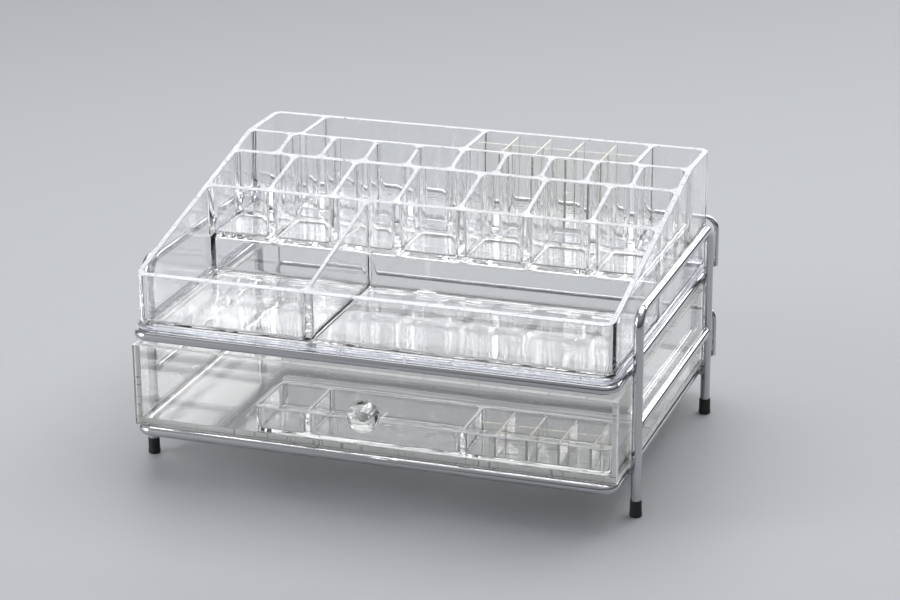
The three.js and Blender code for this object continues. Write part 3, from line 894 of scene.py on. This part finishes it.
def paint_rim(item, material, height, reach=0.9 * MM):
    """Gives the faces along a top edge their own finish."""
    number = finish_number(item, material)
    painted = 0
    for face in item.data.polygons:
        if face.normal.z > 0.25 and abs(face.center.z - height(face.center.y)) < reach:
            face.material_index = number
            painted += 1
    return painted


# The rim faces get the rim's painted highlight.
print("rim faces:", paint_rim(tray, tray_rim, rim_height))
FLANGE_TOP = BASE + 3.4 * MM
# The flange faces get the flange's painted highlight.
flange_number = finish_number(tray, tray_flange)
for face in tray.data.polygons:
    place = face.center
    outside = not (LEFT < place.x < RIGHT and FRONT < place.y < REAR)
    if outside and place.z < FLANGE_TOP:
        face.material_index = flange_number
stand_for(tray, "tray", "moulded_acrylic", "tray")

# %% [markdown]
# ## Divider grids
# A grid is one long plate and four short ones, each with half-height slots so that they cross. The
# plates are thin and stamped from slightly cream plastic. One short plate is made and the row_of
# tree repeats it.

# %% Divider grids
SLOT_PLAY = 0.3 * MM


def slotted_plate(name, length, height, thickness, slots, from_top, along):
    """A plate standing on z = 0, with its slots open at the top or at the bottom."""
    half = thickness / 2 + SLOT_PLAY
    middle = (height - SLOT_PLAY) / 2 if from_top else (height + SLOT_PLAY) / 2
    lower = [(0.0, 0.0), (length, 0.0)]
    upper = [(length, height), (0.0, height)]
    if from_top:
        notches = [p for s in sorted(slots, reverse=True) for p in
                   ((s + half, height), (s + half, middle), (s - half, middle), (s - half, height))]
        profile = lower + upper[:1] + notches + upper[1:]
    else:
        notches = [p for s in sorted(slots) for p in
                   ((s - half, 0.0), (s - half, middle), (s + half, middle), (s + half, 0.0))]
        profile = lower[:1] + notches + lower[1:] + upper
    if along == "x":
        rings = [[(s, y, z) for s, z in profile] for y in (thickness / 2, -thickness / 2)]
    else:
        rings = [[(x, s, z) for s, z in profile] for x in (-thickness / 2, thickness / 2)]
    return add_mesh(name, *loft(rings))


def make_grid(prefix, body):
    nodes = [f"{prefix}_long_plate"] + [f"{prefix}_cross_plate_{i}" for i in range(1, 5)]
    (long_low, long_high), *crosses = [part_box(node) for node in nodes]
    thickness = long_high.y - long_low.y
    places = [(a.x + b.x) / 2 - long_low.x for a, b in crosses]
    height = long_high.z - long_low.z
    long = slotted_plate("long_plate", long_high.x - long_low.x, height, thickness, places, True, "x")
    shift(long, long_low.x, (long_low.y + long_high.y) / 2, long_low.z)
    first_low, first_high = crosses[0]
    depth = first_high.y - first_low.y
    cross = slotted_plate("cross_plates", depth, height, thickness, [depth / 2], False, "y")
    shift(cross, (first_low.x + first_high.x) / 2, first_low.y, first_low.z)
    long.data.materials.append(cream_divider)
    apply_tree(cross, row_of, Count=4, Pitch=(places[1] - places[0], 0.0, 0.0), Material=cream_divider)
    # Narrow faces get the pale edge colour: partly the cut frosting, partly a painted highlight.
    for plates, across in ((long, 1), (cross, 0)):
        broad, narrow = finish_number(plates, cream_divider), finish_number(plates, divider_edge)
        for face in plates.data.polygons:
            face.material_index = broad if abs(face.normal[across]) > 0.5 else narrow
    grid = join(f"{prefix}_plates", [long, cross])
    smooth(grid, bevel=0.18 * MM)
    stand_for(grid, body, "cream_divider", *nodes)


make_grid("tray_grid", "tray_grid")

# %% [markdown]
# ## The drawer
# The drawer is five pieces of sheet, sawn, with only the faces polished, and glued at the edges. Each
# is a block with finely broken corners. The broad faces are clear, and the narrow ones get the sawn
# finish, with the grain running across the thickness.

# %% Drawer panels
def paint_edges(panel, axis):
    """Sawn finish on the narrow sides of a sheet whose thickness runs along an axis."""
    broad, narrow = finish_number(panel, sheet_acrylic), finish_number(panel, edge_finish[axis])
    number = "xyz".index(axis)
    low, high = panel.bound_box[0], panel.bound_box[6]
    others = [i for i in range(3) if i != number]
    for face in panel.data.polygons:
        outer = any(min(abs(face.center[i] - low[i]), abs(face.center[i] - high[i])) < 0.05 * MM
                    for i in others)
        face.material_index = narrow if outer and abs(face.normal[number]) < 0.5 else broad


def sheet_panel(node, axis, hole=None):
    low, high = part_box(node)
    rings = [rectangle(low.x, high.x, low.y, high.y, z) for z in (low.z, high.z)]
    panel = add_mesh(node.replace("_panel", ""), *loft(rings))
    panel.data.materials.append(sheet_acrylic)
    if hole is not None:
        apply_tree(panel, hollow_out, Hollow=hole, Material=sheet_acrylic)
        discard(hole)
    smooth(panel, sharp_degrees=50, bevel=0.3 * MM)
    paint_edges(panel, axis)
    stand_for(panel, "drawer", "sheet_acrylic", node)


knob_low, knob_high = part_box("knob")
KNOB_RADIUS = (knob_high.x - knob_low.x) / 2
knob_height = (knob_low.z + knob_high.z) / 2
SCREW_RADIUS = 2 * MM
HOLE_RADIUS = SCREW_RADIUS + 0.3 * MM
panel_low, panel_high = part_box("drawer_front_panel")
hole = turned("screw_hole", [(0, panel_low.y - MM), (HOLE_RADIUS, panel_low.y - MM),
                             (HOLE_RADIUS, panel_high.y + MM), (0, panel_high.y + MM)], along="y")
shift(hole, 0, 0, knob_height)
sheet_panel("drawer_front_panel", "y", hole)
sheet_panel("drawer_bottom_panel", "z")
sheet_panel("drawer_left_panel", "x")
sheet_panel("drawer_right_panel", "x")
sheet_panel("drawer_back_panel", "y")

# %% [markdown]
# ## Knob and screw
# The knob is a cast ball, ground flat where it meets the drawer and drilled for its screw. The screw
# comes from inside the drawer. Its thread shows through the ball, enlarged, so the thread is modelled:
# one ridge, repeated by the row_of tree.

# %% Knob and screw
def ball_profile():
    flat = knob_high.y
    centre = knob_low.y + KNOB_RADIUS
    screw_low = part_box("knob_screw")[0].y
    end = math.acos((flat - centre) / KNOB_RADIUS)
    steps = 44
    profile = []
    for step in range(steps + 1):
        turn = math.pi - (math.pi - end) * step / steps
        profile.append((KNOB_RADIUS * math.sin(turn) if step else 0, centre + KNOB_RADIUS * math.cos(turn)))
    bottom = screw_low - 0.3 * MM
    profile += [(profile[-1][0] - 0.3 * MM, flat), (HOLE_RADIUS + 0.3 * MM, flat),
                (HOLE_RADIUS, flat - 0.3 * MM), (HOLE_RADIUS, bottom), (0, bottom - 0.9 * MM)]
    return profile


knob = turned("knob_ball", ball_profile(), sides=96, along="y")
shift(knob, 0, 0, knob_height)
knob.data.materials.append(knob_acrylic)
smooth(knob, sharp_degrees=30)
drilled = finish_number(knob, drilled_acrylic)
for face in knob.data.polygons:
    reach = max(math.hypot(knob.data.vertices[v].co.x, knob.data.vertices[v].co.z - knob_height)
                for v in face.vertices)
    if reach < HOLE_RADIUS + 0.1 * MM:
        face.material_index = drilled
stand_for(knob, "drawer", "knob_acrylic", "knob")

screw_low, screw_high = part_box("knob_screw")
HEAD_RADIUS = (screw_high.x - screw_low.x) / 2
HEAD_HEIGHT = 2.4 * MM
CORE_RADIUS = SCREW_RADIUS - 0.35 * MM
seat = screw_high.y - HEAD_HEIGHT
core = turned("screw_core", [
    (0, screw_low.y), (CORE_RADIUS - 0.4 * MM, screw_low.y), (CORE_RADIUS, screw_low.y + 0.5 * MM),
    (CORE_RADIUS, seat + 0.1 * MM), (HEAD_RADIUS - 0.15 * MM, seat), (HEAD_RADIUS, seat + 0.2 * MM),
    (HEAD_RADIUS - 0.2 * MM, seat + 1.3 * MM), (HEAD_RADIUS - 1.2 * MM, screw_high.y - 0.25 * MM),
    (HEAD_RADIUS - 2.2 * MM, screw_high.y), (0, screw_high.y)], along="y")
core.data.materials.append(screw_steel)
THREAD_PITCH = 0.7 * MM
ridge_count = int((seat - screw_low.y - 1.0 * MM) / THREAD_PITCH)
ridge = turned("thread_ridge", [
    (0, -0.3 * MM), (CORE_RADIUS - 0.1 * MM, -0.3 * MM), (SCREW_RADIUS, -0.06 * MM),
    (SCREW_RADIUS, 0.06 * MM), (CORE_RADIUS - 0.1 * MM, 0.3 * MM), (0, 0.3 * MM)], along="y", sides=32)
shift(ridge, 0, screw_low.y + 0.8 * MM, 0)
apply_tree(ridge, row_of, Count=ridge_count, Pitch=(0.0, THREAD_PITCH, 0.0), Material=screw_steel)
screw = join("knob_screw_threaded", [core, ridge])
shift(screw, 0, 0, knob_height)
smooth(screw, sharp_degrees=35)
stand_for(screw, "drawer", "screw_steel", "knob_screw")

# %% [markdown]
# ## The insert tray
# A small moulding with three compartments lies inside the drawer. It is made in the same way as the
# big tray: a rounded body with hollows cut from it, but with a level rim.

# %% Insert tray
INSERT_WALL = 2.2 * MM
INSERT_FLOOR = 1.8 * MM
INSERT_SMALL = 29 * MM
INSERT_WIDE = 92 * MM
INSERT_CORNER = 3.6 * MM
box_low, box_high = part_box("insert_tray")


def insert_top(y):
    """The insert's rim is level, so its height is the same at every y."""
    return box_high.z


insert_plan = shrinking_plan(box_low.x, box_high.x, box_low.y, box_high.y, INSERT_CORNER + INSERT_WALL / 2)
insert_foot = [(1.1, 0.0), (0.5, 0.12), (0.12, 0.5), (0.0, 1.1)]
insert = add_mesh("insert_tray_moulding", *loft(
    stack(insert_plan, insert_foot, lambda y: box_low.z) + stack(insert_plan, RIM_ROUND, insert_top)))
wide_left = box_low.x + 2 * INSERT_WALL + INSERT_SMALL
grid_left = wide_left + INSERT_WIDE + INSERT_WALL
for x0, x1 in ((box_low.x + INSERT_WALL, wide_left - INSERT_WALL), (wide_left, grid_left - INSERT_WALL),
               (grid_left, box_high.x - INSERT_WALL)):
    hollow = cell_hollow("insert_hollow", x0, x1, box_low.y + INSERT_WALL, box_high.y - INSERT_WALL,
                         box_low.z + INSERT_FLOOR, corner=INSERT_CORNER, fillet=1.2 * MM,
                         rim=insert_top, draft=0.1)
    apply_tree(insert, hollow_out, Hollow=hollow, Material=moulded_acrylic)
    discard(hollow)
smooth(insert, sharp_degrees=35)
# The insert's rim faces get the same painted highlight as the tray's.
print("insert rim faces:", paint_rim(insert, tray_rim, insert_top, 0.5 * MM))
stand_for(insert, "insert", "moulded_acrylic", "insert_tray")
make_grid("insert_grid", "insert")

# %% [markdown]
# ## Floor
# The floor is one plain, pale and slightly dull sheet. It is wide enough to fill every view.

# %% Floor
FLOOR_REACH = 7.0
floor = add_mesh("floor", rectangle(-FLOOR_REACH, FLOOR_REACH, -FLOOR_REACH, FLOOR_REACH, 0), [[0, 1, 2, 3]])
floor_paint, tree, shader = new_material("pale_floor")
shader.inputs["Base Color"].default_value = (0.34, 0.35, 0.365, 1.0)
shader.inputs["Roughness"].default_value = 0.55
floor.data.materials.append(floor_paint)
print("floor", 2 * FLOOR_REACH, "m square")

# %% [markdown]
# ## Light
# Clear plastic shows its shape by what it bends and reflects. Three soft lamps and a soft sky light the
# scene. The surroundings are dark at eye level and paler above, with a bright patch behind and one on
# the left, so that each wall gets bright lines next to dark ones.

# %% Light
def soft_light(name, place, target, width, height, watts):
    data = bpy.data.lights.new(name, "AREA")
    data.shape = "RECTANGLE"
    data.size, data.size_y = width, height
    data.energy = watts
    lamp = place_object(name, data)
    lamp.location = place
    lamp.rotation_euler = (Vector(target) - Vector(place)).to_track_quat("-Z", "Y").to_euler()
    print(f"{name}: {width} x {height} m, {watts} W")


soft_light("overhead_softbox", (0.0, 0.35, 1.3), (0.0, 0.05, 0.0), 1.5, 1.0, 15)
soft_light("left_softbox", (-1.3, -0.9, 0.7), (0.0, 0.0, 0.08), 0.7, 0.9, 10)
soft_light("back_softbox", (0.9, 1.7, 0.8), (0.0, 0.0, 0.1), 1.2, 0.5, 9)

sky_data = bpy.data.lights.new("soft_sky", "SUN")
sky_data.energy = 0.8
sky_data.angle = math.radians(70)
sky = place_object("soft_sky", sky_data)
sky.rotation_euler = (math.radians(-12), math.radians(8), 0.0)

HORIZON = (0.09, 0.09, 0.10, 1.0)
ZENITH = (0.40, 0.405, 0.42, 1.0)
BRIGHT_PATCH = (1.05, 1.06, 1.08, 1.0)
PATCH_DIRECTIONS = ((-0.35, 0.93, 0.1), (-0.85, -0.5, 0.15))
world = bpy.data.worlds.new("studio")
world.use_nodes = True
tree = world.node_tree
direction = tree.nodes.new("ShaderNodeTexCoord").outputs["Generated"]
height = add_node(tree, "ShaderNodeSeparateXYZ", Vector=direction).outputs["Z"]
shade = add_node(tree, "ShaderNodeMix", {"data_type": "RGBA"},
                 i0=ramp(tree, height, 0.0, 0.8), i6=HORIZON, i7=ZENITH)
for facing in PATCH_DIRECTIONS:
    toward = add_node(tree, "ShaderNodeVectorMath", {"operation": "DOT_PRODUCT"}, i0=direction, i1=facing)
    inside = ramp(tree, toward.outputs["Value"], 0.7, 0.93)
    shade = add_node(tree, "ShaderNodeMix", {"data_type": "RGBA"},
                     i0=inside, i6=shade.outputs[2], i7=BRIGHT_PATCH)
tree.links.new(shade.outputs[2], tree.nodes["Background"].inputs["Color"])
bpy.context.scene.world = world
bpy.context.scene.view_settings.view_transform = "Standard"

# %% [markdown]
# ## Camera
# A long lens from the front right, a little above the object, keeps the upright edges nearly parallel.
# The light paths are made long enough to pass through every wall of the tray and the drawer.

# %% Camera
LENS = 106.53
CAMERA_PLACE = (0.50432, -1.41566, 0.62855)
AZIMUTH, ELEVATION, ROLL = 19.12, 19.77, -0.44
camera_data = bpy.data.cameras.new("camera")
camera_data.lens = LENS
camera_data.sensor_width = 36.0
camera = place_object("camera", camera_data)
aim = Euler((math.radians(90 - ELEVATION), 0.0, math.radians(AZIMUTH))).to_matrix()
camera.matrix_world = Matrix.Translation(CAMERA_PLACE) @ (
    aim @ Matrix.Rotation(math.radians(ROLL), 3, "Z")).to_4x4()
bpy.context.scene.camera = camera
cycles = bpy.context.scene.cycles
cycles.max_bounces = 40
cycles.transmission_bounces = 40
cycles.glossy_bounces = 10
print("camera", CAMERA_PLACE, "lens", LENS)
